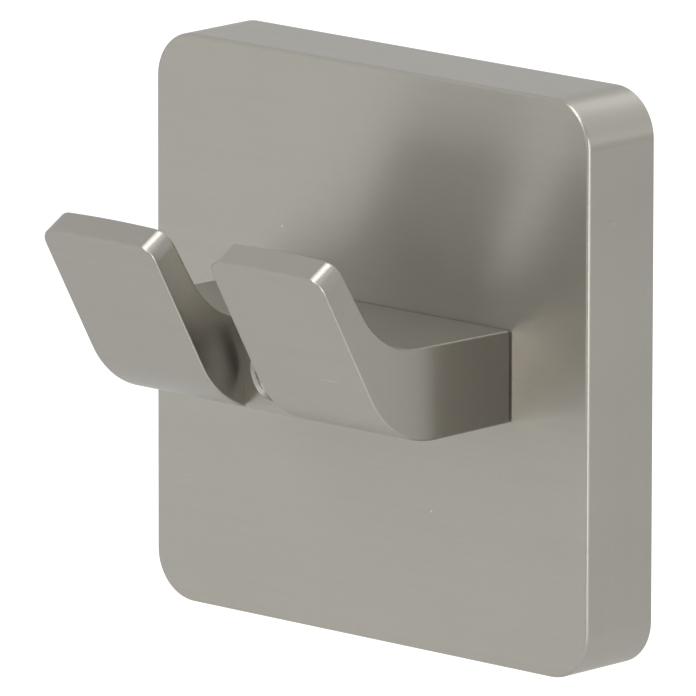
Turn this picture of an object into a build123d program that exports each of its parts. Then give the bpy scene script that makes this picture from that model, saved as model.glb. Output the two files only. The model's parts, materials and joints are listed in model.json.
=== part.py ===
from build123d import *
import math
import os

# Double towel hook on a square cover plate. Millimetres, +Z up.
# The wall is the plane Y = 0, the hook reaches out towards -Y, and the origin is
# the centre of the plate's back.

# Cover plate: a square cast shell, open at the back
plate_side = 55.0
plate_depth = 9.2
plate_wall = 2.0
plate_corner_radius = 4.6
plate_front_rounding = 0.35
plate_back_chamfer = 0.2
pocket_floor_chamfer = 0.8

# Double hook: the arm block and the slot between the prongs
hook_width = 35.6
arm_height = 8.8
arm_rise = 0.4
arm_top_slope = 1.1
slot_width = 7.1
slot_floor_reach = 13.3

# Double hook: the prongs
tip_reach = 35.5
tip_rise = 13.55
front_lean = 30.0
inner_lean = 33.0
tip_thickness = 2.88
heel_radius = 10.3
crook_radius = 9.5
tip_crown_radius = 110.0
tip_corner_radius = 1.8
edge_rounding = 0.25
slot_foot_rounding = 1.0
root_chamfer = 0.2

# Locating pegs, cast on the hook's back
peg_diameter = 3.0
peg_length = 1.7
peg_spacing = 24.0
peg_clearance = 0.1

# Hook screw, M5, put in from the back
hook_screw_diameter = 5.0
hook_screw_length = 12.0
hook_screw_head_diameter = 9.0
hook_screw_head_height = 2.8
hook_screw_head_chamfer = 0.8
hook_screw_socket_size = 3.0
hook_screw_socket_depth = 1.8
bore_countersink = 0.3

# Wall bracket: a pressed steel channel that the plate hooks over
bracket_width = 38.0
bracket_thickness = 2.0
bracket_depth = 6.0
bracket_bend_radius = 0.6
bracket_corner_radius = 1.2
bracket_lip_height = 0.8
bracket_lip_depth = 1.4
wall_slot_spacing = 26.0
wall_slot_width = 4.6
wall_slot_length = 8.0

# Catch inside the plate's top wall, behind the bracket's lip
catch_height = 1.2
catch_depth = 1.5
catch_width = 24.0

# Set screw, M4, in a boss inside the plate's bottom wall
set_screw_diameter = 4.0
set_screw_length = 5.0
set_screw_recess = 0.3
set_screw_socket_size = 2.0
set_screw_socket_depth = 2.0
set_screw_cone_height = 1.0
set_screw_seat_diameter = 3.0
boss_width = 9.0
boss_height = 2.6
boss_rounding = 1.0

# Clearances: thread in its tapped hole, shank in a plain hole, bracket inside the plate
thread_play = 0.05
shank_clearance = 0.25
bracket_clearance = 0.3
screw_end_chamfer = 0.4

# How near two faces lie that count as one where the prongs are fused to the arm block
fusing_tolerance = 0.0001

# Sizes that follow from those above
plate_front = -plate_depth
pocket_floor = plate_front + plate_wall
pocket_half = plate_side / 2 - plate_wall
arm_bottom = arm_rise - arm_height / 2
arm_top = arm_rise + arm_height / 2
arm_top_gain = math.tan(math.radians(arm_top_slope))
slot_floor = plate_front - slot_floor_reach
slot_floor_top = arm_top + slot_floor_reach * arm_top_gain
prong_width = (hook_width - slot_width) / 2
prong_centre = (hook_width + slot_width) / 4
bracket_top = pocket_half - catch_height
bracket_bottom = -pocket_half + boss_height + bracket_clearance
set_screw_depth = -bracket_depth / 2 - bracket_thickness / 2
set_screw_foot = -plate_side / 2 + set_screw_recess


def rod(diameter, y_low, y_high):
    """A cylinder along Y between two Y planes."""
    middle = Location((0, (y_low + y_high) / 2, 0), (90, 0, 0))
    return middle * Cylinder(diameter / 2, y_high - y_low)


def block(width, y_low, y_high, z_low, z_high):
    """A box centred on X = 0 between two Y planes and two Z planes."""
    middle = Pos(0, (y_low + y_high) / 2, (z_low + z_high) / 2)
    return middle * Box(width, y_high - y_low, z_high - z_low)


def hex_socket(size, depth):
    """The cutter for a hexagon socket: six-sided, from Z = 0 down to Z = -depth."""
    return extrude(RegularPolygon(size / 2, 6, major_radius=False), -depth)


def round_corner(face, corner, radius):
    """A flat face with its vertex nearest to the corner made round."""
    return fillet(face.vertices().sort_by_distance(corner)[0], radius)


def plate_shell():
    """The rounded square box of the cover plate, open at the back."""
    outline = RectangleRounded(plate_side, plate_side, plate_corner_radius)
    shell = extrude(Plane.XZ * outline, plate_depth)
    shell = fillet(shell.faces().sort_by(Axis.Y)[0].edges(), plate_front_rounding)
    shell = chamfer(shell.faces().sort_by(Axis.Y)[-1].edges(), plate_back_chamfer)

    outline = RectangleRounded(2 * pocket_half, 2 * pocket_half, plate_corner_radius - plate_wall)
    pocket = extrude(Plane.XZ * outline, plate_depth - plate_wall)
    pocket = chamfer(pocket.faces().sort_by(Axis.Y)[0].edges(), pocket_floor_chamfer)
    return shell - pocket


def plate_catch():
    """The rib under the top wall that grips behind the bracket's lip."""
    front = -bracket_depth + bracket_lip_depth + bracket_clearance
    return block(catch_width, front, front + catch_depth, bracket_top, pocket_half + plate_wall / 2)


def plate_boss():
    """The thick place in the bottom wall that gives the set screw its thread."""
    top = -pocket_half + boss_height
    boss = block(boss_width, pocket_floor - plate_wall / 2, -plate_wall / 2, -pocket_half - plate_wall / 2, top)
    return fillet(boss.edges().filter_by(Axis.Y).group_by(Axis.Z)[-1], boss_rounding)


def cover_plate():
    """Shell, catch and boss, with holes for the hook screw, the pegs and the set screw."""
    plate = plate_shell() + plate_catch() + plate_boss()
    screw_hole = rod(hook_screw_diameter + 2 * shank_clearance, plate_front, pocket_floor)
    plate -= Pos(0, 0, arm_rise) * screw_hole
    peg_hole = rod(peg_diameter + 2 * peg_clearance, plate_front, pocket_floor)
    for side in (-1, 1):
        plate -= Pos(side * peg_spacing / 2, 0, arm_rise) * peg_hole
    tapped_length = plate_wall + boss_height
    tapped_hole = Cylinder(set_screw_diameter / 2 + thread_play, tapped_length)
    return plate - Pos(0, set_screw_depth, -plate_side / 2 + tapped_length / 2) * tapped_hole


def hook_side_outline():
    """Side view of arm and prong in the Y-Z plane: heel and crook are its two round bends."""
    front_angle = math.radians(front_lean)
    inner_gain = math.tan(math.radians(inner_lean))
    tip_y = -tip_reach + tip_thickness * math.cos(front_angle)
    tip_z = tip_rise + tip_thickness * math.sin(front_angle)
    heel = (-tip_reach + (tip_rise - arm_bottom) * math.tan(front_angle), arm_bottom)
    crook_height = tip_z - arm_top - plate_front * arm_top_gain
    crook_y = (tip_y + crook_height * inner_gain) / (1 - arm_top_gain * inner_gain)
    crook = (crook_y, arm_top + (plate_front - crook_y) * arm_top_gain)
    root_bottom = (plate_front, arm_bottom)
    root_top = (plate_front, arm_top)
    outline = Polyline(root_bottom, heel, (-tip_reach, tip_rise), (tip_y, tip_z), crook, root_top, close=True)
    face = round_corner(make_face(Plane.YZ * outline), (0, *heel), heel_radius)
    return round_corner(face, (0, *crook), crook_radius)


def above_crown():
    """What lies above the crowned end of a prong, as a solid to cut away."""
    lean = math.radians(front_lean)
    prong_face = Plane(
        origin=(0, -tip_reach, tip_rise),
        x_dir=(1, 0, 0),
        z_dir=(0, -math.cos(lean), -math.sin(lean)),
    )
    half = prong_width / 2
    sag = tip_crown_radius - math.sqrt(tip_crown_radius ** 2 - half ** 2)
    crown = ThreePointArc((-half, -sag), (0, 0), (half, -sag))
    rest = Polyline((half, -sag), (half, tip_thickness), (-half, tip_thickness), (-half, -sag))
    return extrude(prong_face * make_face([crown, rest]), 2 * tip_thickness, both=True)


def prong():
    """One prong with the arm behind it, its end crowned, its corners round, its edges eased."""
    half = prong_width / 2
    lean = math.radians(front_lean)
    blank = extrude(hook_side_outline(), half, both=True) - above_crown()
    through_thickness = Axis((0, 0, 0), (0, math.cos(lean), math.sin(lean)))
    blank = fillet(blank.edges().filter_by(through_thickness), tip_corner_radius)
    for height in (arm_top, arm_bottom):
        loop_start = blank.edges().sort_by_distance((half, slot_floor / 2 + plate_front / 2, height))[0]
        blank = fillet(loop_start, edge_rounding)
    return blank


def bridge():
    """The arm block between the prongs, whose front is the floor of the slot."""
    front_top = (slot_floor, slot_floor_top)
    front_bottom = (slot_floor, arm_bottom)
    window = Polyline((plate_front, arm_bottom), front_bottom, front_top, (plate_front, arm_top), close=True)
    window = round_corner(make_face(window), front_top, edge_rounding)
    window = round_corner(window, front_bottom, slot_foot_rounding)
    section = hook_side_outline() & (Plane.YZ * window)
    return extrude(section, slot_width / 2 + 2 * edge_rounding, both=True)


def hook_bore():
    """The hook screw's tapped hole, which runs through the arm and opens in the slot's floor."""
    radius = hook_screw_diameter / 2 + thread_play
    bore = rod(2 * radius, slot_floor, plate_front)
    mouth = Cone(radius + bore_countersink, radius, bore_countersink)
    mouth = Location((0, slot_floor + bore_countersink / 2, 0), (-90, 0, 0)) * mouth
    return Pos(0, 0, arm_rise) * (bore + mouth)


def double_hook():
    """Arm block, two prongs and two locating pegs: one casting, bored for its screw."""
    prongs = [Pos(side * prong_centre, 0, 0) * prong() for side in (-1, 1)]
    hook = bridge().fuse(*prongs, tol=fusing_tolerance).clean()
    hook = chamfer(hook.faces().sort_by(Axis.Y)[-1].outer_wire().edges(), root_chamfer)
    peg = rod(peg_diameter, plate_front - peg_length / 2, plate_front + peg_length)
    for side in (-1, 1):
        hook += Pos(side * peg_spacing / 2, 0, arm_rise) * peg
    return hook - hook_bore()


def hook_screw():
    """Socket-headed screw that pulls the hook against the plate from inside."""
    tip = pocket_floor - hook_screw_length
    shank = rod(hook_screw_diameter, tip, pocket_floor)
    shank = chamfer(shank.faces().sort_by(Axis.Y)[0].edges(), screw_end_chamfer)
    head = rod(hook_screw_head_diameter, pocket_floor, pocket_floor + hook_screw_head_height)
    head = chamfer(head.faces().sort_by(Axis.Y)[-1].edges(), hook_screw_head_chamfer)
    socket = hex_socket(hook_screw_socket_size, hook_screw_socket_depth)
    socket = Location((0, pocket_floor + hook_screw_head_height, 0), (-90, 0, 0)) * socket
    return Pos(0, 0, arm_rise) * (shank + head - socket)


def bracket_section():
    """The channel's section in the Y-Z plane, with its bends and the lip on the top flange."""
    middle_z = (bracket_top + bracket_bottom) / 2
    height = bracket_top - bracket_bottom
    inner_height = height - 2 * bracket_thickness
    inner_depth = bracket_depth - bracket_thickness
    outer = Pos(-bracket_depth / 2, middle_z) * Rectangle(bracket_depth, height)
    outer = fillet(outer.vertices().group_by(Axis.X)[-1], bracket_bend_radius + bracket_thickness)
    inner = Pos(-bracket_depth + inner_depth / 2, middle_z) * Rectangle(inner_depth, inner_height)
    inner = fillet(inner.vertices().group_by(Axis.X)[-1], bracket_bend_radius)
    lip_centre = Pos(-bracket_depth + bracket_lip_depth / 2, bracket_top)
    lip = lip_centre * Rectangle(bracket_lip_depth, 2 * bracket_lip_height)
    return outer - inner + lip


def wall_bracket():
    """Steel channel with two slots for the wall screws and a seat for the set screw."""
    bracket = extrude(Plane.YZ * bracket_section(), bracket_width / 2, both=True)
    flange_corners = bracket.edges().filter_by(Axis.Z).group_by(Axis.Y)[0]
    bracket = fillet(flange_corners, bracket_corner_radius)
    wall_slot = SlotOverall(wall_slot_length, wall_slot_width)
    for side in (-1, 1):
        place = Pos(side * wall_slot_spacing / 2, 0, 0) * Plane.XZ
        bracket -= extrude(place * wall_slot, bracket_thickness)
    seat = Cylinder(set_screw_seat_diameter / 2, bracket_thickness)
    return bracket - Pos(0, set_screw_depth, bracket_bottom + bracket_thickness / 2) * seat


def set_screw():
    """Headless screw whose cone sits in the bracket's lower flange."""
    straight = set_screw_length - set_screw_cone_height
    radius = set_screw_diameter / 2
    body = Pos(0, 0, straight / 2) * Cylinder(radius, straight)
    body = chamfer(body.faces().sort_by(Axis.Z)[0].edges(), screw_end_chamfer)
    cone = Cone(radius, radius - set_screw_cone_height, set_screw_cone_height)
    body += Pos(0, 0, straight + set_screw_cone_height / 2) * cone
    socket = Location((0, 0, 0), (180, 0, 0)) * hex_socket(set_screw_socket_size, set_screw_socket_depth)
    return Pos(0, set_screw_depth, set_screw_foot) * (body - socket)


pieces = {
    "cover_plate": cover_plate(),
    "double_hook": double_hook(),
    "hook_screw": hook_screw(),
    "wall_bracket": wall_bracket(),
    "set_screw": set_screw(),
}

os.makedirs("parts", exist_ok=True)
for name, piece in pieces.items():
    export_step(piece, f"parts/{name}.step")
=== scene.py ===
import json
import math

import bmesh
import bpy
from bpy.props import FloatProperty, FloatVectorProperty, IntProperty, PointerProperty
from mathutils import Matrix, Vector

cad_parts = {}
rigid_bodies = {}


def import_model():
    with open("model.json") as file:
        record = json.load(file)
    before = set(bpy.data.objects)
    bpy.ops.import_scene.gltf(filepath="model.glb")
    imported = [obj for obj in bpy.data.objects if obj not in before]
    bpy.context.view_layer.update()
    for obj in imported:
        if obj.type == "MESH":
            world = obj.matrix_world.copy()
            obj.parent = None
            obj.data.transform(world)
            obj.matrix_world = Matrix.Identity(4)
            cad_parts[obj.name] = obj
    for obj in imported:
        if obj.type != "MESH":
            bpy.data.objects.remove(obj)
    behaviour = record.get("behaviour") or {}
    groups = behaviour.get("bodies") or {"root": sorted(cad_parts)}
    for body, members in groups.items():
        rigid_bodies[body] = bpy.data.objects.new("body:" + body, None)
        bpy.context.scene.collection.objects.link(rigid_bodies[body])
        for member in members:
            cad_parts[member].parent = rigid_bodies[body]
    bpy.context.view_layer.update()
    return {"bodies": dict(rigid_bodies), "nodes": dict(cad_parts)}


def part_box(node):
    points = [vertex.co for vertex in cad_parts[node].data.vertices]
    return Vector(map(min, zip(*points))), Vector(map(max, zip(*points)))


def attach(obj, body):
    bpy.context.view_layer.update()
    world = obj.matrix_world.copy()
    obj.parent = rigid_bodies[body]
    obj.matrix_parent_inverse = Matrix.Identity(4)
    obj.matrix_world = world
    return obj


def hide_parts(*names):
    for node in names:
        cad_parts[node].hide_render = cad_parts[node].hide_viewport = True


bl_info = {
    "name": "Double towel hook",
    "version": (1, 0, 0),
    "blender": (4, 5, 0),
    "location": "View3D > Sidebar > Towel hook",
    "description": "Dresses a satin nickel double towel hook on its square cover plate",
    "category": "Object",
}

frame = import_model()
BODY = next(iter(frame["bodies"]))

# Where the camera stands and how it is framed, from the vanishing lines of the plate. Its lens and
# sensor are in millimetres, and its distances in metres
CAMERA_AZIMUTH = math.radians(42.78)
CAMERA_HEIGHT = math.radians(12.11)
CAMERA_ROLL = math.radians(0.082)
CAMERA_DISTANCE = 1.4566
CAMERA_ASIDE = -0.008273
CAMERA_BELOW = -0.000898
CAMERA_LENS = 800.1
CAMERA_SENSOR = 36
CAMERA_NEAR = 0.05
CAMERA_FAR = 50

# Which way a reflection is drawn out, across the brushing: "on" where the surface faces along
# the axis, "off" elsewhere
PLATE_GLOW = {"axis": 1, "on": (0, 0, 1), "off": (0, 1, 0)}
HOOK_GLOW = {"axis": 2, "on": (0, 1, 0), "off": (0, 0, 1)}

# The polishing crown of the hook's sides: where it starts and ends, in metres, and how far the
# sides turn there, in radians
HOOK_CROWN = {"front": -0.031, "root": -0.0092, "front_turn": 0.07, "root_turn": 0.1}

# Where the raw inside of the plate and the bare wall of the hook's bore lie, in metres
POCKET_HALF = 0.02555
POCKET_FLOOR = -0.00725
BORE_HEIGHT = 0.0004
BORE_REACH = 0.0029
BORE_MOUTH = -0.02248

# The hook screw's M5 crest, and the thread in the bore with the sleeve that carries it
SCREW_CREST = 0.0025
THREAD_MOUTH = -0.0221
THREAD_CREST = 0.00212
THREAD_ROOT = 0.0025
SLEEVE_OUTSIDE = 0.0026
SLEEVE_GAP = 0.0001

# The form of a thread in shares of its pitch: where its root ends and its crest starts, both from
# the middle of the root, and how long it takes to run out. Then how finely it is made and shaded
ROOT_END = 0.06
CREST_START = 0.44
RUN_OUT = 0.8
ROWS_PER_PITCH = 10
MERGING_DISTANCE = 0.00001
SMOOTH_ANGLE = math.radians(30)

# Where the softboxes stand
OVERHEAD_PLACE = (0.1, -0.05, 0.9)
FRONT_PLACE = (0.24, -0.59, 0.64)
RIGHT_PLACE = (0.451, -0.215, 0.02)
LEFT_PLACE = (-0.55, -0.62, 0.15)

# Which way the brighter parts of the room lie, in front on the left and behind on the right, and
# between which cosines of the angle to them the room grows brighter
ROOM_LEFT = (-0.68, -0.73, 0)
ROOM_BEHIND = (0.3, 0.75, 0.6)
ROOM_LEFT_EDGE = (0.2, 0.9)
ROOM_BEHIND_EDGE = (0.6, 0.95)

# What the metal mirrors of the dark side of the room
DARK_CARD_COLOUR = (0.08, 0.055, 0.045, 1)

# The range of a noise that a pattern uses
NOISE_LOW = 0.3
NOISE_HIGH = 0.7

# The broad lines among the fine ones of the brushing: how many there are of them, and how much
# they show
BROAD_SCALE = 0.21
BROAD_SHARE = 0.4

# How squarely a surface faces one way where its brushing, or its glow, starts to turn, and where
# it has turned
SIDE_FACING = (0.55, 0.85)
GLOW_FACING = (0.5, 0.9)

# How much the nickel's tone and roughness change with its lines and clouds, and how rough the bare
# metal is
LINE_CONTRAST = 0.01
CLOUD_CONTRAST = 0.015
GLOSS_CHANGE = 0.01
BARE_ROUGHNESS = 0.6

# The dust and hairs: their pale colour, how large they are in their cells and how much they show.
# The cells of the hairs are longer and much flatter than those of the flecks
DUST_COLOUR = (0.8, 0.79, 0.76, 1)
SMALLEST_FLECK = 0.4
FLECK_SIZE = 0.033
FLECK_STRENGTH = 0.4
HAIR_SIZE = 0.16
HAIR_SHARE = 0.03
HAIR_STRENGTH = 0.12
HAIR_LONGER = 1.6
HAIR_FLATTER = 0.12
HAIR_ASIDE = (0.3, 0.2, 0.1)

# The steel: its rolling lines and its bump in metres, the size of its clouds as a share of the
# nickel's, and how much the lines and the clouds change its tone and its roughness
ROLLING_SPACING = 0.0003
ROLLING_LENGTH = 0.006
STEEL_CLOUDS = 0.4
STEEL_BUMP = 0.00001
STEEL_LINE_TONES = (0.95, 1.04)
STEEL_CLOUD_TONES = (0.86, 1.08)
STEEL_SMOOTHER = 0.06
STEEL_ROUGHER = 0.08


class FinishColours(bpy.types.PropertyGroup):
    """The colours of the metals."""

    plate_nickel: FloatVectorProperty(
        name="Plate nickel", description="Satin nickel on the cover plate", subtype="COLOR",
        size=3, min=0, max=1, default=(0.405, 0.388, 0.349))
    hook_nickel: FloatVectorProperty(
        name="Hook nickel", description="Satin nickel on the double hook", subtype="COLOR",
        size=3, min=0, max=1, default=(0.385, 0.369, 0.332))
    cast_inside: FloatVectorProperty(
        name="Raw casting", description="Unpolished inside of the cover plate", subtype="COLOR",
        size=3, min=0, max=1, default=(0.33, 0.325, 0.31))
    bore: FloatVectorProperty(
        name="Tapped bore", description="Bare wall of the hook's bore", subtype="COLOR",
        size=3, min=0, max=1, default=(0.52, 0.505, 0.465))
    thread: FloatVectorProperty(
        name="Thread", description="Freshly cut thread in the hook's bore", subtype="COLOR",
        size=3, min=0, max=1, default=(0.6, 0.58, 0.54))
    steel: FloatVectorProperty(
        name="Bright steel", description="Wall bracket and screws", subtype="COLOR",
        size=3, min=0, max=1, default=(0.64, 0.64, 0.64))


class BrushingSizes(bpy.types.PropertyGroup):
    """The sizes of the brushing and of the marks on it, and how rough each metal is."""

    line_spacing: FloatProperty(
        name="Line spacing", description="Width of one brushed line", unit="LENGTH",
        min=0.00002, max=0.002, default=0.00016)
    line_length: FloatProperty(
        name="Line length", description="Length of one brushed line", unit="LENGTH",
        min=0.001, max=0.1, default=0.016)
    line_depth: FloatProperty(
        name="Line depth", description="Depth of the brushing", unit="LENGTH",
        min=0, max=0.0001, default=0.0000006)
    cloud_size: FloatProperty(
        name="Cloud size", description="Size of the faint clouds in the finish", unit="LENGTH",
        min=0.001, max=0.1, default=0.012)
    fleck_cell: FloatProperty(
        name="Fleck cell", description="Side of the cells, of which some hold a fleck of dust",
        unit="LENGTH", min=0.0005, max=0.05, default=0.00384)
    fleck_share: FloatProperty(
        name="Fleck share", description="Share of the cells that hold a fleck", min=0, max=1,
        default=0.2)
    plate_roughness: FloatProperty(
        name="Plate roughness", description="Roughness of the brushed plate", min=0, max=1,
        default=0.33)
    plate_stretch: FloatProperty(
        name="Plate stretch", description="How far the brushing draws out the plate's reflections",
        min=0, max=1, default=0.9)
    hook_roughness: FloatProperty(
        name="Hook roughness", description="Roughness of the brushed hook", min=0, max=1,
        default=0.31)
    hook_stretch: FloatProperty(
        name="Hook stretch", description="How far the brushing draws out the hook's reflections",
        min=0, max=1, default=0.95)
    bracket_roughness: FloatProperty(
        name="Bracket roughness", description="Roughness of the wall bracket", min=0, max=1,
        default=0.42)
    screw_roughness: FloatProperty(
        name="Screw roughness", description="Roughness of the two screws", min=0, max=1,
        default=0.34)
    thread_roughness: FloatProperty(
        name="Thread roughness", description="Roughness of the thread in the bore", min=0, max=1,
        default=0.4)


class ScrewSizes(bpy.types.PropertyGroup):
    """The sizes of the two screws and of the thread in the hook's bore."""

    around: IntProperty(
        name="Steps round a turn", description="Faces round a screw, a multiple of 6",
        min=12, max=192, default=48)
    hook_pitch: FloatProperty(
        name="Hook screw pitch", description="Rise of the M5 thread in a turn", unit="LENGTH",
        min=0.0002, max=0.003, default=0.0008)
    hook_depth: FloatProperty(
        name="Hook thread depth", description="Depth of the M5 thread", unit="LENGTH",
        min=0.0001, max=0.002, default=0.00045)
    head_height: FloatProperty(
        name="Head height", description="Height of the hook screw's head", unit="LENGTH",
        min=0.001, max=0.01, default=0.0028)
    head_chamfer: FloatProperty(
        name="Head chamfer", description="Chamfer round the hook screw's head", unit="LENGTH",
        min=0, max=0.002, default=0.0008)
    hook_socket: FloatProperty(
        name="Hook screw socket", description="Width of the socket across its flats", unit="LENGTH",
        min=0.001, max=0.01, default=0.003)
    hook_socket_depth: FloatProperty(
        name="Hook screw socket depth", description="Depth of the socket", unit="LENGTH",
        min=0.0005, max=0.01, default=0.0018)
    set_pitch: FloatProperty(
        name="Set screw pitch", description="Rise of the M4 thread in a turn", unit="LENGTH",
        min=0.0002, max=0.003, default=0.0007)
    set_depth: FloatProperty(
        name="Set screw thread depth", description="Depth of the M4 thread", unit="LENGTH",
        min=0.0001, max=0.002, default=0.0004)
    set_socket: FloatProperty(
        name="Set screw socket", description="Width of the socket across its flats, and its depth",
        unit="LENGTH", min=0.001, max=0.01, default=0.002)
    set_cone: FloatProperty(
        name="Cone height", description="Height of the set screw's cone", unit="LENGTH",
        min=0.0002, max=0.005, default=0.001)


class StageSizes(bpy.types.PropertyGroup):
    """The floor, the lamps and the brightness round the object."""

    floor_drop: FloatProperty(
        name="Floor drop", description="How far the floor lies under the plate", unit="LENGTH",
        min=0, max=1, default=0.09)
    floor_radius: FloatProperty(
        name="Floor radius", description="Radius of the round floor", unit="LENGTH",
        min=1, max=20, default=6)
    floor_tone: FloatProperty(
        name="Floor tone", description="How pale the floor is", min=0, max=1, default=0.64)
    floor_lift: FloatProperty(
        name="Floor lift", description="Light that the floor adds towards the camera", min=0, max=1,
        default=0.5)
    room_light: FloatProperty(
        name="Room light", description="Brightness of the white room", min=0, max=2, default=0.82)
    left_light: FloatProperty(
        name="Left light", description="Brightness of the room in front on the left", min=0, max=2,
        default=0.92)
    back_light: FloatProperty(
        name="Back light", description="Brightness of the room behind on the right", min=0, max=2,
        default=0.98)
    overhead_power: FloatProperty(
        name="Overhead softbox power", description="Power of the softbox overhead", unit="POWER",
        min=0, max=100, default=2.4)
    overhead_size: FloatProperty(
        name="Overhead softbox size", description="Side of the softbox overhead", unit="LENGTH",
        min=0.05, max=3, default=0.5)
    front_power: FloatProperty(
        name="Front softbox power", description="Power of the softbox up in front", unit="POWER",
        min=0, max=100, default=2.5)
    front_size: FloatProperty(
        name="Front softbox size", description="Side of the softbox up in front", unit="LENGTH",
        min=0.05, max=3, default=0.4)
    left_power: FloatProperty(
        name="Left softbox power", description="Power of the softbox on the left", unit="POWER",
        min=0, max=100, default=2.5)
    left_size: FloatProperty(
        name="Left softbox size", description="Side of the softbox on the left", unit="LENGTH",
        min=0.05, max=3, default=0.3)
    right_power: FloatProperty(
        name="Right softbox power", description="Power of the softbox on the right", unit="POWER",
        min=0, max=100, default=0.72)
    right_size: FloatProperty(
        name="Right softbox size", description="Side of the softbox on the right", unit="LENGTH",
        min=0.05, max=3, default=0.26)
    card_azimuth: FloatProperty(
        name="Card azimuth", unit="ROTATION",
        description="Which way the dark card stands, from the front to the right",
        min=-math.pi, max=math.pi, default=math.radians(28.2))
    card_distance: FloatProperty(
        name="Card distance", description="How far the dark card stands from the object",
        unit="LENGTH", min=0.1, max=5, default=0.4)
    card_width: FloatProperty(
        name="Card width", description="Width of the dark card", unit="LENGTH",
        min=0.01, max=2, default=0.137)
    card_bottom: FloatProperty(
        name="Card bottom", description="Height of the dark card's lower edge", unit="LENGTH",
        min=-2, max=2, default=-0.115)
    card_top: FloatProperty(
        name="Card top", description="Height of the dark card's upper edge", unit="LENGTH",
        min=-2, max=2, default=0.3)


def feed(tree, node, inputs):
    """Feeds a node's inputs, each with a value or from an output socket."""
    for name, value in inputs.items():
        if isinstance(value, bpy.types.NodeSocket):
            tree.links.new(value, node.inputs[name])
        else:
            node.inputs[name].default_value = value


def add(tree, kind, inputs=None, **settings):
    """Adds a node to a tree, with its settings and then its inputs."""
    made = tree.nodes.new(kind)
    for name, value in settings.items():
        setattr(made, name, value)
    feed(tree, made, inputs or {})
    return made


def compute(tree, operation, first, second=0):
    """One math node on one or two numbers."""
    return add(tree, "ShaderNodeMath", {0: first, 1: second}, operation=operation).outputs[0]


def compute_vector(tree, operation, first, second=(0, 0, 0)):
    """One vector math node on two vectors."""
    return add(tree, "ShaderNodeVectorMath", {0: first, 1: second}, operation=operation)


def scaled(tree, colour, factor):
    """A plain colour made lighter or darker by a factor."""
    inputs = {0: (*colour,), "Scale": factor}
    return add(tree, "ShaderNodeVectorMath", inputs, operation="SCALE").outputs[0]


def spread(tree, value, low, high, new_low, new_high, way="SMOOTHSTEP"):
    """Maps a value from one range to another, with soft ends or in a straight line."""
    inputs = {
        "Value": value, "From Min": low, "From Max": high, "To Min": new_low, "To Max": new_high}
    return add(tree, "ShaderNodeMapRange", inputs, interpolation_type=way).outputs["Result"]


def spread_noise(tree, value, new_low, new_high):
    """Maps the middle of a noise to a range."""
    return spread(tree, value, NOISE_LOW, NOISE_HIGH, new_low, new_high)


def blend_numbers(tree, share, first, second):
    """Mixes two numbers."""
    mix = add(tree, "ShaderNodeMix", {0: share, 2: first, 3: second}, data_type="FLOAT")
    return mix.outputs[0]


def blend_vectors(tree, share, first, second):
    """Mixes two vectors."""
    mix = add(tree, "ShaderNodeMix", {0: share, 4: first, 5: second}, data_type="VECTOR")
    return mix.outputs[1]


def blend_colours(tree, share, first, second):
    """Mixes two colours."""
    mix = add(tree, "ShaderNodeMix", {0: share, 6: first, 7: second}, data_type="RGBA")
    return mix.outputs[2]


def new_group(name, inputs, outputs):
    """A shader node group with named sockets, and its two end nodes."""
    tree = bpy.data.node_groups.new(name, "ShaderNodeTree")
    for label, kind in inputs:
        tree.interface.new_socket(label, in_out="INPUT", socket_type=kind)
    for label, kind in outputs:
        tree.interface.new_socket(label, in_out="OUTPUT", socket_type=kind)
    return tree, tree.nodes.new("NodeGroupInput"), tree.nodes.new("NodeGroupOutput")


def brushed_lines_group():
    """Fine parallel lines that run along the vector's X."""
    inputs = [
        ("Vector", "NodeSocketVector"), ("Spacing", "NodeSocketFloat"),
        ("Length", "NodeSocketFloat"),
    ]
    tree, start, end = new_group("Brushed lines", inputs, [("Lines", "NodeSocketFloat")])
    spacing = start.outputs["Spacing"]
    size = add(tree, "ShaderNodeCombineXYZ", {0: start.outputs["Length"], 1: spacing, 2: spacing})
    place = compute_vector(tree, "DIVIDE", start.outputs["Vector"], size.outputs[0])
    fine = add(tree, "ShaderNodeTexNoise", {
        "Vector": place.outputs[0], "Scale": 1.0, "Detail": 2.0})
    broad = add(tree, "ShaderNodeTexNoise", {
        "Vector": place.outputs[0], "Scale": BROAD_SCALE, "Detail": 1.0})
    lines = blend_numbers(tree, BROAD_SHARE, fine.outputs[0], broad.outputs[0])
    tree.links.new(lines, end.inputs["Lines"])
    return tree


def clouds_group():
    """Soft clouds, from 0 to 1."""
    inputs = [("Vector", "NodeSocketVector"), ("Size", "NodeSocketFloat")]
    tree, start, end = new_group("Clouds", inputs, [("Clouds", "NodeSocketFloat")])
    scale = compute(tree, "DIVIDE", 1.0, start.outputs["Size"])
    noise = add(tree, "ShaderNodeTexNoise", {
        "Vector": start.outputs["Vector"], "Scale": scale, "Detail": 3.0})
    tree.links.new(noise.outputs[0], end.inputs["Clouds"])
    return tree


def flecks_group():
    """Scattered small flecks: the mask is 1 inside a fleck, and a share of the cells has one."""
    inputs = [
        ("Vector", "NodeSocketVector"), ("Cell", "NodeSocketVector"),
        ("Size", "NodeSocketFloat"), ("Share", "NodeSocketFloat"),
    ]
    tree, start, end = new_group("Flecks", inputs, [("Mask", "NodeSocketFloat")])
    place = compute_vector(tree, "DIVIDE", start.outputs["Vector"], start.outputs["Cell"])
    cells = add(tree, "ShaderNodeTexVoronoi", {"Vector": place.outputs[0], "Scale": 1.0})
    pick = add(tree, "ShaderNodeSeparateColor", {0: cells.outputs["Color"]})
    chosen = compute(tree, "LESS_THAN", pick.outputs[0], start.outputs["Share"])
    larger = compute(tree, "ADD", SMALLEST_FLECK, pick.outputs[1])
    size = compute(tree, "MULTIPLY", start.outputs["Size"], larger)
    near = compute(tree, "LESS_THAN", cells.outputs["Distance"], size)
    tree.links.new(compute(tree, "MULTIPLY", chosen, near), end.inputs["Mask"])
    return tree


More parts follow.
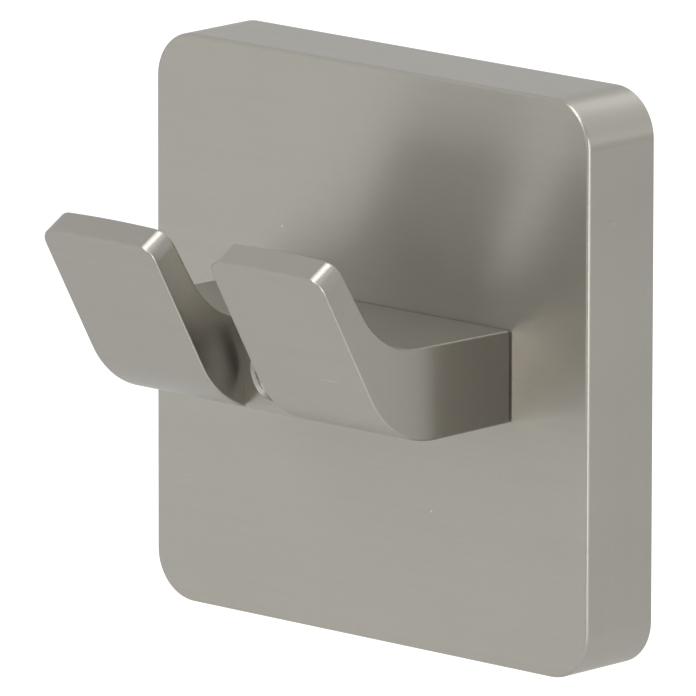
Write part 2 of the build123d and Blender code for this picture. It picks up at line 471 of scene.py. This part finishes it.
def use_group(tree, group, inputs):
    """Places a node group and gives its output."""
    return add(tree, "ShaderNodeGroup", inputs, node_tree=group).outputs[0]


def new_material(name):
    """A material with an empty tree, its Principled shader and its output."""
    material = bpy.data.materials.new(name)
    material.use_nodes = True
    tree = material.node_tree
    tree.nodes.clear()
    shader = tree.nodes.new("ShaderNodeBsdfPrincipled")
    output = tree.nodes.new("ShaderNodeOutputMaterial")
    tree.links.new(shader.outputs[0], output.inputs["Surface"])
    return material, tree, shader


def reorder(tree, parts, first, second, third):
    """A vector from three outputs of a Separate XYZ node."""
    inputs = {0: parts.outputs[first], 1: parts.outputs[second], 2: parts.outputs[third]}
    return add(tree, "ShaderNodeCombineXYZ", inputs).outputs[0]


def inside(tree, value, low, high):
    """1 where a number lies between two others."""
    above = compute(tree, "GREATER_THAN", value, low)
    below = compute(tree, "LESS_THAN", value, high)
    return compute(tree, "MULTIPLY", above, below)


def crowned_normal(tree, parts, facing, sideways, crown):
    """The surface's normal on sides that polishing has crowned a little from front to root."""
    turn = spread(tree, parts.outputs[1], crown["front"], crown["root"],
                  -crown["front_turn"], crown["root_turn"], "LINEAR")
    lean = compute(tree, "MULTIPLY", turn, sideways)
    leaning = compute(tree, "ADD", facing.outputs[1], lean)
    turned = add(tree, "ShaderNodeCombineXYZ", {
        0: facing.outputs[0], 1: leaning, 2: facing.outputs[2]})
    return compute_vector(tree, "NORMALIZE", turned.outputs[0]).outputs[0]


def brushed_lines(tree, groups, place, parts, sideways):
    """The brushing: along X on the faces, and along Z on the sides that face left and right."""
    sizes = bpy.context.scene.hook_brushing
    run = {"Spacing": sizes.line_spacing, "Length": sizes.line_length}
    flat_lines = use_group(tree, groups["lines"], {"Vector": place, **run})
    side_lines = use_group(tree, groups["lines"], {"Vector": reorder(tree, parts, 2, 0, 1), **run})
    return blend_numbers(tree, sideways, flat_lines, side_lines)


def dust_and_hairs(tree, groups, place):
    """How much of the pale colour of dust shows: small flecks, and fainter short hairs."""
    sizes = bpy.context.scene.hook_brushing
    cell = sizes.fleck_cell
    fleck_cell = (cell, cell, cell)
    dust = use_group(tree, groups["flecks"], {
        "Vector": place, "Cell": fleck_cell, "Size": FLECK_SIZE, "Share": sizes.fleck_share})
    aside = compute_vector(tree, "ADD", place, HAIR_ASIDE).outputs[0]
    hair_cell = (HAIR_LONGER * cell, HAIR_LONGER * cell, HAIR_FLATTER * cell)
    hairs = use_group(tree, groups["flecks"], {
        "Vector": aside, "Cell": hair_cell, "Size": HAIR_SIZE, "Share": HAIR_SHARE})
    faint_hairs = compute(tree, "MULTIPLY", hairs, HAIR_STRENGTH)
    return compute(tree, "MAXIMUM", compute(tree, "MULTIPLY", dust, FLECK_STRENGTH), faint_hairs)


def satin_nickel(
        name, groups, nickel, roughness, stretch, glow, hidden_colour, hidden_mask, crown=None):
    """Satin nickel, with another colour where its mask says that the metal is bare."""
    sizes = bpy.context.scene.hook_brushing
    material, tree, shader = new_material(name)
    where = add(tree, "ShaderNodeTexCoord")
    place = where.outputs["Object"]
    parts = add(tree, "ShaderNodeSeparateXYZ", {0: place})
    facing = add(tree, "ShaderNodeSeparateXYZ", {0: where.outputs["Normal"]})
    sideways = spread(tree, compute(tree, "ABSOLUTE", facing.outputs[0]), *SIDE_FACING, 0.0, 1.0)
    lines = brushed_lines(tree, groups, place, parts, sideways)
    clouds = use_group(tree, groups["clouds"], {"Vector": place, "Size": sizes.cloud_size})

    line_tone = spread_noise(tree, lines, 1 - LINE_CONTRAST, 1 + LINE_CONTRAST)
    cloud_tone = spread_noise(tree, clouds, 1 - CLOUD_CONTRAST, 1 + CLOUD_CONTRAST)
    tone = compute(tree, "MULTIPLY", line_tone, cloud_tone)
    marks = dust_and_hairs(tree, groups, place)
    polished = blend_colours(tree, marks, scaled(tree, nickel, tone), DUST_COLOUR)
    bare = hidden_mask(tree, parts)
    colour = blend_colours(tree, bare, polished, (*hidden_colour, 1))
    gloss = spread_noise(tree, lines, roughness + GLOSS_CHANGE, roughness - GLOSS_CHANGE)
    gloss = compute(tree, "ADD", gloss, spread_noise(tree, clouds, -GLOSS_CHANGE, GLOSS_CHANGE))
    along = compute(tree, "ABSOLUTE", facing.outputs[glow["axis"]])
    along = spread(tree, along, *GLOW_FACING, 0.0, 1.0)
    drawn = blend_vectors(tree, along, glow["off"], glow["on"])
    bump = add(tree, "ShaderNodeBump", {
        "Height": lines, "Distance": sizes.line_depth, "Strength": 1.0})
    if crown:
        feed(tree, bump, {"Normal": crowned_normal(tree, parts, facing, sideways, crown)})
    feed(tree, shader, {
        "Base Color": colour, "Roughness": blend_numbers(tree, bare, gloss, BARE_ROUGHNESS),
        "Metallic": 1.0, "Anisotropic": stretch, "Tangent": drawn, "Normal": bump.outputs[0]})
    return material


def inside_pocket(tree, parts):
    """1 on the raw inside of the cover plate."""
    across = inside(tree, parts.outputs[0], -POCKET_HALF, POCKET_HALF)
    up = inside(tree, parts.outputs[2], -POCKET_HALF, POCKET_HALF)
    deep = compute(tree, "GREATER_THAN", parts.outputs[1], POCKET_FLOOR)
    return compute(tree, "MULTIPLY", compute(tree, "MULTIPLY", across, up), deep)


def inside_bore(tree, parts):
    """1 on the wall of the hook's tapped bore."""
    up = compute(tree, "SUBTRACT", parts.outputs[2], BORE_HEIGHT)
    across_squared = compute(tree, "MULTIPLY", parts.outputs[0], parts.outputs[0])
    squared = compute(tree, "ADD", across_squared, compute(tree, "MULTIPLY", up, up))
    near = compute(tree, "LESS_THAN", compute(tree, "SQRT", squared), BORE_REACH)
    deep = compute(tree, "GREATER_THAN", parts.outputs[1], BORE_MOUTH)
    return compute(tree, "MULTIPLY", near, deep)


def bright_steel(name, groups, colour, roughness):
    """Bright steel, pressed or turned: cloudy, with faint rolling lines."""
    sizes = bpy.context.scene.hook_brushing
    material, tree, shader = new_material(name)
    place = add(tree, "ShaderNodeTexCoord").outputs["Object"]
    lines = use_group(tree, groups["lines"], {
        "Vector": place, "Spacing": ROLLING_SPACING, "Length": ROLLING_LENGTH})
    clouds = use_group(tree, groups["clouds"], {
        "Vector": place, "Size": STEEL_CLOUDS * sizes.cloud_size})
    line_tone = spread_noise(tree, lines, *STEEL_LINE_TONES)
    tone = compute(tree, "MULTIPLY", line_tone, spread_noise(tree, clouds, *STEEL_CLOUD_TONES))
    gloss = spread_noise(tree, clouds, roughness - STEEL_SMOOTHER, roughness + STEEL_ROUGHER)
    bump = add(tree, "ShaderNodeBump", {"Height": clouds, "Distance": STEEL_BUMP, "Strength": 1.0})
    feed(tree, shader, {
        "Base Color": scaled(tree, colour, tone), "Metallic": 1.0, "Roughness": gloss,
        "Normal": bump.outputs[0]})
    return material


def dress(node, material):
    """Gives a CAD node its material."""
    piece = frame["nodes"][node]
    piece.data.materials.clear()
    piece.data.materials.append(material)


def shared_groups():
    """The three shader node groups, built once."""
    makers = {
        "lines": ("Brushed lines", brushed_lines_group),
        "clouds": ("Clouds", clouds_group),
        "flecks": ("Flecks", flecks_group),
    }
    return {key: bpy.data.node_groups.get(name) or maker() for key, (name, maker) in makers.items()}


def thread_tree():
    """Geometry Nodes: a threaded tube from Z = 0 up to a length, joined to the given ends."""
    tree = bpy.data.node_groups.new("Threaded shank", "GeometryNodeTree")
    tree.is_modifier = True
    sockets = [
        ("Ends", "NodeSocketGeometry"), ("Crest Radius", "NodeSocketFloat"),
        ("Depth", "NodeSocketFloat"), ("Pitch", "NodeSocketFloat"), ("Length", "NodeSocketFloat"),
        ("Around", "NodeSocketInt"), ("Rows", "NodeSocketInt"), ("Metal", "NodeSocketMaterial"),
    ]
    for label, kind in sockets:
        tree.interface.new_socket(label, in_out="INPUT", socket_type=kind)
    tree.interface.new_socket("Screw", in_out="OUTPUT", socket_type="NodeSocketGeometry")
    start = tree.nodes.new("NodeGroupInput")
    end = tree.nodes.new("NodeGroupOutput")
    pitch, length, depth = (start.outputs[name] for name in ("Pitch", "Length", "Depth"))

    columns = compute(tree, "ADD", start.outputs["Around"], 1)
    grid = add(tree, "GeometryNodeMeshGrid", {
        "Size X": 1.0, "Size Y": 1.0, "Vertices X": columns, "Vertices Y": start.outputs["Rows"]})
    position = tree.nodes.new("GeometryNodeInputPosition").outputs[0]
    spot = add(tree, "ShaderNodeSeparateXYZ", {0: position})
    turn = compute(tree, "ADD", spot.outputs[0], 0.5)
    height = compute(tree, "MULTIPLY", compute(tree, "ADD", spot.outputs[1], 0.5), length)
    climbed = compute(tree, "DIVIDE", height, pitch)
    phase = compute(tree, "FRACT", compute(tree, "SUBTRACT", climbed, turn))
    flank = compute(tree, "ABSOLUTE", compute(tree, "SUBTRACT", phase, 0.5))
    cut = spread(tree, flank, ROOT_END, CREST_START, 1.0, 0.0, "LINEAR")
    from_end = compute(tree, "MINIMUM", height, compute(tree, "SUBTRACT", length, height))
    from_end = compute(tree, "DIVIDE", from_end, pitch)
    run_out = spread(tree, from_end, 0.0, RUN_OUT, 1.0, 0.0, "LINEAR")
    inward = compute(tree, "MULTIPLY", compute(tree, "MAXIMUM", cut, run_out), depth)
    radius = compute(tree, "SUBTRACT", start.outputs["Crest Radius"], inward)
    angle = compute(tree, "MULTIPLY", turn, 2 * math.pi)
    place = add(tree, "ShaderNodeCombineXYZ", {
        0: compute(tree, "MULTIPLY", radius, compute(tree, "COSINE", angle)),
        1: compute(tree, "MULTIPLY", radius, compute(tree, "SINE", angle)),
        2: height})
    tube = add(tree, "GeometryNodeSetPosition", {
        "Geometry": grid.outputs["Mesh"], "Position": place.outputs[0]})
    joined = tree.nodes.new("GeometryNodeJoinGeometry")
    tree.links.new(start.outputs["Ends"], joined.inputs[0])
    tree.links.new(tube.outputs[0], joined.inputs[0])
    closed = add(tree, "GeometryNodeMergeByDistance", {
        "Geometry": joined.outputs[0], "Distance": MERGING_DISTANCE})
    real = add(tree, "GeometryNodeRealizeInstances", {0: closed.outputs[0]})
    metal = add(tree, "GeometryNodeSetMaterial", {
        "Geometry": real.outputs[0], "Material": start.outputs["Metal"]})
    tree.links.new(metal.outputs[0], end.inputs[0])
    return tree


def ring_points(shape, radius, height, around):
    """The points of one ring, round or six-sided. A six-sided ring's radius is to its flats."""
    points = []
    for step in range(around):
        angle = 2 * math.pi * step / around
        reach = radius
        if shape == "hex":
            reach = radius / math.cos(angle % (math.pi / 3) - math.pi / 6)
        points.append((reach * math.cos(angle), reach * math.sin(angle), height))
    return points


def turned_ends(name, runs, around):
    """A mesh of turned parts. A run is a list of rings, and a ring with no radius is a point."""
    mesh = bpy.data.meshes.new(name)
    work = bmesh.new()
    for run in runs:
        before = None
        for shape, radius, height in run:
            if radius == 0:
                ring = [work.verts.new((0, 0, height))]
            else:
                points = ring_points(shape, radius, height, around)
                ring = [work.verts.new(point) for point in points]
            if before is not None:
                for step in range(around):
                    ahead = (step + 1) % around
                    if len(before) == 1:
                        corners = (before[0], ring[step], ring[ahead])
                    elif len(ring) == 1:
                        corners = (before[step], before[ahead], ring[0])
                    else:
                        corners = (before[step], before[ahead], ring[ahead], ring[step])
                    work.faces.new(corners)
            before = ring
    work.to_mesh(mesh)
    work.free()
    return bpy.data.objects.new(name, mesh)


def cut_thread(piece, crest, depth, pitch, length, around, metal):
    """Adds the thread to a piece's ends with Geometry Nodes and keeps it as a plain mesh."""
    tree = bpy.data.node_groups.get("Threaded shank") or thread_tree()
    scene = bpy.context.scene
    scene.collection.objects.link(piece)
    modifier = piece.modifiers.new("thread", "NODES")
    modifier.node_group = tree
    values = {
        "Crest Radius": crest, "Depth": depth, "Pitch": pitch, "Length": length, "Around": around,
        "Rows": 1 + round(ROWS_PER_PITCH * length / pitch), "Metal": metal,
    }
    for item in tree.interface.items_tree:
        if item.in_out == "INPUT" and item.name in values:
            modifier[item.identifier] = values[item.name]
    ready = piece.evaluated_get(bpy.context.evaluated_depsgraph_get())
    mesh = bpy.data.meshes.new_from_object(ready)
    piece.modifiers.remove(modifier)
    piece.data = mesh
    work = bmesh.new()
    work.from_mesh(mesh)
    bmesh.ops.recalc_face_normals(work, faces=work.faces)
    work.to_mesh(mesh)
    work.free()
    mesh.set_sharp_from_angle(angle=SMOOTH_ANGLE)
    for polygon in mesh.polygons:
        polygon.use_smooth = True


def seat(piece, spot, upward):
    """Puts a piece built along Z at its place, with its Z along another direction, in its mesh."""
    turn = Vector(upward).to_track_quat("Z", "Y").to_matrix().to_4x4()
    piece.data.transform(Matrix.Translation(spot) @ turn)
    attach(piece, BODY)


class TOWEL_HOOK_OT_dress_plate(bpy.types.Operator):
    """Give the cover plate its brushed front and rim and its raw inside"""

    bl_idname = "towel_hook.dress_plate"
    bl_label = "Cover plate"

    def execute(self, context):
        colours, sizes = context.scene.hook_colours, context.scene.hook_brushing
        material = satin_nickel("satin_nickel_plate", shared_groups(), colours.plate_nickel,
                                sizes.plate_roughness, sizes.plate_stretch, PLATE_GLOW,
                                colours.cast_inside, inside_pocket)
        dress("cover_plate", material)
        return {"FINISHED"}


class TOWEL_HOOK_OT_dress_hook(bpy.types.Operator):
    """Give the double hook its brushed finish and its bare bore"""

    bl_idname = "towel_hook.dress_hook"
    bl_label = "Double hook"

    def execute(self, context):
        colours, sizes = context.scene.hook_colours, context.scene.hook_brushing
        material = satin_nickel("satin_nickel_hook", shared_groups(), colours.hook_nickel,
                                sizes.hook_roughness, sizes.hook_stretch, HOOK_GLOW,
                                colours.bore, inside_bore, HOOK_CROWN)
        dress("double_hook", material)
        return {"FINISHED"}


class TOWEL_HOOK_OT_dress_bracket(bpy.types.Operator):
    """Give the wall bracket its bright steel"""

    bl_idname = "towel_hook.dress_bracket"
    bl_label = "Wall bracket"

    def execute(self, context):
        steel, sizes = context.scene.hook_colours.steel, context.scene.hook_brushing
        material = bright_steel("zinc_sheet", shared_groups(), steel, sizes.bracket_roughness)
        dress("wall_bracket", material)
        return {"FINISHED"}


class TOWEL_HOOK_OT_turn_screws(bpy.types.Operator):
    """Turn the hook screw and the set screw, with their threads and sockets"""

    bl_idname = "towel_hook.turn_screws"
    bl_label = "Screws"

    def execute(self, context):
        sizes, steel = context.scene.hook_screws, context.scene.hook_colours.steel
        roughness = context.scene.hook_brushing.screw_roughness
        metal = bright_steel("turned_steel", shared_groups(), steel, roughness)
        self.turn_hook_screw(sizes, metal)
        self.turn_set_screw(sizes, metal)
        return {"FINISHED"}

    def turn_hook_screw(self, sizes, metal):
        low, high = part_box("hook_screw")
        head_radius = (high.x - low.x) / 2
        core = SCREW_CREST - sizes.hook_depth
        length = high.y - low.y - sizes.head_height
        top = -sizes.head_height
        flats = sizes.hook_socket / 2
        bottom = top + sizes.hook_socket_depth
        head = [
            ("hex", 0, bottom), ("hex", flats, bottom), ("hex", flats, top),
            ("round", head_radius - sizes.head_chamfer, top),
            ("round", head_radius, top + sizes.head_chamfer), ("round", head_radius, 0),
            ("round", core, 0),
        ]
        tip = [("round", core, length), ("round", 0, length)]
        screw = turned_ends("hook_screw_threaded", [head, tip], sizes.around)
        cut_thread(
            screw, SCREW_CREST, sizes.hook_depth, sizes.hook_pitch, length, sizes.around, metal)
        spot = ((low.x + high.x) / 2, high.y - sizes.head_height, (low.z + high.z) / 2)
        seat(screw, spot, (0, -1, 0))
        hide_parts("hook_screw")

    def turn_set_screw(self, sizes, metal):
        low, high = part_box("set_screw")
        crest = (high.x - low.x) / 2
        core = crest - sizes.set_depth
        length = high.z - low.z - sizes.set_cone
        flats = sizes.set_socket / 2
        foot = [
            ("hex", 0, sizes.set_socket), ("hex", flats, sizes.set_socket),
            ("hex", flats, 0), ("round", core, 0),
        ]
        middle = length + sizes.set_cone / 2
        tip = length + sizes.set_cone
        cone = [
            ("round", core, length), ("round", crest - sizes.set_cone / 2, middle),
            ("round", crest - sizes.set_cone, tip), ("round", 0, tip),
        ]
        screw = turned_ends("set_screw_threaded", [foot, cone], sizes.around)
        cut_thread(screw, crest, sizes.set_depth, sizes.set_pitch, length, sizes.around, metal)
        seat(screw, ((low.x + high.x) / 2, (low.y + high.y) / 2, low.z), (0, 0, 1))
        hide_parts("set_screw")


class TOWEL_HOOK_OT_tap_bore(bpy.types.Operator):
    """Cut the thread that shows in the hook's bore, ahead of the screw"""

    bl_idname = "towel_hook.tap_bore"
    bl_label = "Thread in the bore"

    def execute(self, context):
        sizes = context.scene.hook_screws
        screw_low, screw_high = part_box("hook_screw")
        foot = screw_low.y - SLEEVE_GAP
        length = foot - THREAD_MOUTH
        sleeve = [
            ("round", THREAD_ROOT, 0), ("round", SLEEVE_OUTSIDE, 0),
            ("round", SLEEVE_OUTSIDE, length), ("round", THREAD_ROOT, length),
        ]
        thread = turned_ends("bore_thread", [sleeve], sizes.around)
        colour = context.scene.hook_colours.thread
        roughness = context.scene.hook_brushing.thread_roughness
        metal = bright_steel("bore_metal", shared_groups(), colour, roughness)
        depth = THREAD_CREST - THREAD_ROOT
        cut_thread(thread, THREAD_CREST, depth, sizes.hook_pitch, length, sizes.around, metal)
        middle = (screw_low + screw_high) / 2
        seat(thread, (middle.x, foot, middle.z), (0, -1, 0))
        return {"FINISHED"}


def pale_floor(sizes):
    """A large plain floor that stays white to the camera and keeps the object's shadow."""
    bpy.ops.mesh.primitive_circle_add(
        vertices=96, radius=sizes.floor_radius, fill_type="NGON", location=(0, 0, 0))
    floor = bpy.context.object
    floor.name = "floor"
    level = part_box("cover_plate")[0].z - sizes.floor_drop
    floor.data.transform(Matrix.Translation((0, 0, level)))
    material, tree, shader = new_material("pale_floor")
    seen = add(tree, "ShaderNodeLightPath")
    tone = sizes.floor_tone
    lift = compute(tree, "MULTIPLY", seen.outputs["Is Camera Ray"], sizes.floor_lift)
    feed(tree, shader, {
        "Base Color": (tone, tone, tone, 1), "Roughness": 0.9, "Specular IOR Level": 0.1,
        "Emission Color": (1, 1, 1, 1), "Emission Strength": lift})
    floor.data.materials.append(material)


def camera_axes():
    """The camera's right, up and back directions."""
    a, e, roll = CAMERA_AZIMUTH, CAMERA_HEIGHT, CAMERA_ROLL
    right = Vector((math.cos(a), math.sin(a), 0))
    up = Vector((-math.sin(a) * math.sin(e), math.cos(a) * math.sin(e), math.cos(e)))
    back = Vector((math.sin(a) * math.cos(e), -math.cos(a) * math.cos(e), math.sin(e)))
    turned_right = math.cos(roll) * right + math.sin(roll) * up
    turned_up = math.cos(roll) * up - math.sin(roll) * right
    return turned_right, turned_up, back


def place_camera():
    """The camera, at the photograph's angle."""
    right, up, back = camera_axes()
    data = bpy.data.cameras.new("camera")
    data.lens = CAMERA_LENS
    data.sensor_width = CAMERA_SENSOR
    data.clip_start = CAMERA_NEAR
    data.clip_end = CAMERA_FAR
    camera = bpy.data.objects.new("camera", data)
    bpy.context.scene.collection.objects.link(camera)
    turn = Matrix((right, up, back)).transposed().to_4x4()
    spot = CAMERA_DISTANCE * back + CAMERA_ASIDE * right + CAMERA_BELOW * up
    camera.matrix_world = Matrix.Translation(spot) @ turn
    bpy.context.scene.camera = camera


def add_softbox(name, spot, size, power):
    """A square lamp that looks at the object."""
    data = bpy.data.lights.new(name, "AREA")
    data.shape = "SQUARE"
    data.size = size
    data.energy = power
    lamp = bpy.data.objects.new(name, data)
    bpy.context.scene.collection.objects.link(lamp)
    aim = (-Vector(spot)).to_track_quat("-Z", "Y")
    lamp.matrix_world = Matrix.Translation(spot) @ aim.to_matrix().to_4x4()
    return lamp


def dark_card(sizes):
    """The dark side of the room beside the camera, seen in the metal alone."""
    level = Vector((math.sin(sizes.card_azimuth), -math.cos(sizes.card_azimuth), 0))
    side = sizes.card_width / 2 * Vector((level.y, -level.x, 0))
    middle = sizes.card_distance * level
    low, high = Vector((0, 0, sizes.card_bottom)), Vector((0, 0, sizes.card_top))
    corners = [middle - side + low, middle + side + low, middle + side + high, middle - side + high]
    mesh = bpy.data.meshes.new("dark_card")
    mesh.from_pydata(corners, [], [(0, 1, 2, 3)])
    card = bpy.data.objects.new("dark_card", mesh)
    bpy.context.scene.collection.objects.link(card)
    material, tree, shader = new_material("dark_card")
    shader.inputs["Base Color"].default_value = DARK_CARD_COLOUR
    card.data.materials.append(material)
    card.visible_camera = False
    card.visible_diffuse = False
    card.visible_shadow = False


def white_room(sizes):
    """A pale room all round, brighter in front on the left and behind, and white to the camera."""
    world = bpy.data.worlds.new("white_room")
    bpy.context.scene.world = world
    world.use_nodes = True
    tree = world.node_tree
    tree.nodes.clear()
    where = add(tree, "ShaderNodeTexCoord").outputs["Generated"]
    toward = compute_vector(tree, "DOT_PRODUCT", where, ROOM_LEFT).outputs["Value"]
    strength = spread(tree, toward, *ROOM_LEFT_EDGE, sizes.room_light, sizes.left_light)
    behind = compute_vector(tree, "DOT_PRODUCT", where, ROOM_BEHIND).outputs["Value"]
    share = spread(tree, behind, *ROOM_BEHIND_EDGE, 0.0, 1.0)
    strength = blend_numbers(tree, share, strength, sizes.back_light)
    seen = add(tree, "ShaderNodeLightPath")
    strength = blend_numbers(tree, seen.outputs["Is Camera Ray"], strength, 1.0)
    light = add(tree, "ShaderNodeBackground", {"Color": (1, 1, 1, 1), "Strength": strength})
    output = tree.nodes.new("ShaderNodeOutputWorld")
    tree.links.new(light.outputs[0], output.inputs["Surface"])


class TOWEL_HOOK_OT_set_stage(bpy.types.Operator):
    """Set up the floor, the room, the softboxes, the dark card and the camera"""

    bl_idname = "towel_hook.set_stage"
    bl_label = "Stage"

    def execute(self, context):
        sizes = context.scene.hook_stage
        pale_floor(sizes)
        white_room(sizes)
        add_softbox("softbox_overhead", OVERHEAD_PLACE, sizes.overhead_size, sizes.overhead_power)
        add_softbox("softbox_front", FRONT_PLACE, sizes.front_size, sizes.front_power)
        add_softbox("softbox_right", RIGHT_PLACE, sizes.right_size, sizes.right_power)
        left = add_softbox("softbox_left", LEFT_PLACE, sizes.left_size, sizes.left_power)
        left.visible_glossy = False
        dark_card(sizes)
        place_camera()
        context.scene.view_settings.view_transform = "Standard"
        return {"FINISHED"}


class VIEW3D_PT_towel_hook(bpy.types.Panel):
    """The pieces of the towel hook, in the sidebar"""

    bl_label = "Towel hook"
    bl_idname = "VIEW3D_PT_towel_hook"
    bl_space_type = "VIEW_3D"
    bl_region_type = "UI"
    bl_category = "Towel hook"

    def draw(self, context):
        scene = context.scene
        for group in SETTINGS:
            settings = getattr(scene, group)
            box = self.layout.box()
            for name in settings.__annotations__:
                box.prop(settings, name)
        for operator in OPERATORS:
            self.layout.operator(operator.bl_idname)


SETTINGS = {
    "hook_colours": FinishColours, "hook_brushing": BrushingSizes,
    "hook_screws": ScrewSizes, "hook_stage": StageSizes,
}
OPERATORS = (
    TOWEL_HOOK_OT_dress_plate, TOWEL_HOOK_OT_dress_hook, TOWEL_HOOK_OT_dress_bracket,
    TOWEL_HOOK_OT_turn_screws, TOWEL_HOOK_OT_tap_bore, TOWEL_HOOK_OT_set_stage,
)


def register():
    for cls in (*SETTINGS.values(), *OPERATORS, VIEW3D_PT_towel_hook):
        bpy.utils.register_class(cls)
    for name, group in SETTINGS.items():
        setattr(bpy.types.Scene, name, PointerProperty(type=group))


def unregister():
    for name in SETTINGS:
        delattr(bpy.types.Scene, name)
    for cls in reversed((*SETTINGS.values(), *OPERATORS, VIEW3D_PT_towel_hook)):
        bpy.utils.unregister_class(cls)


def main():
    """Makes everything in order."""
    register()
    bpy.ops.towel_hook.dress_plate()
    bpy.ops.towel_hook.dress_hook()
    bpy.ops.towel_hook.dress_bracket()
    bpy.ops.towel_hook.turn_screws()
    bpy.ops.towel_hook.tap_bore()
    bpy.ops.towel_hook.set_stage()


if __name__ == "__main__":
    main()
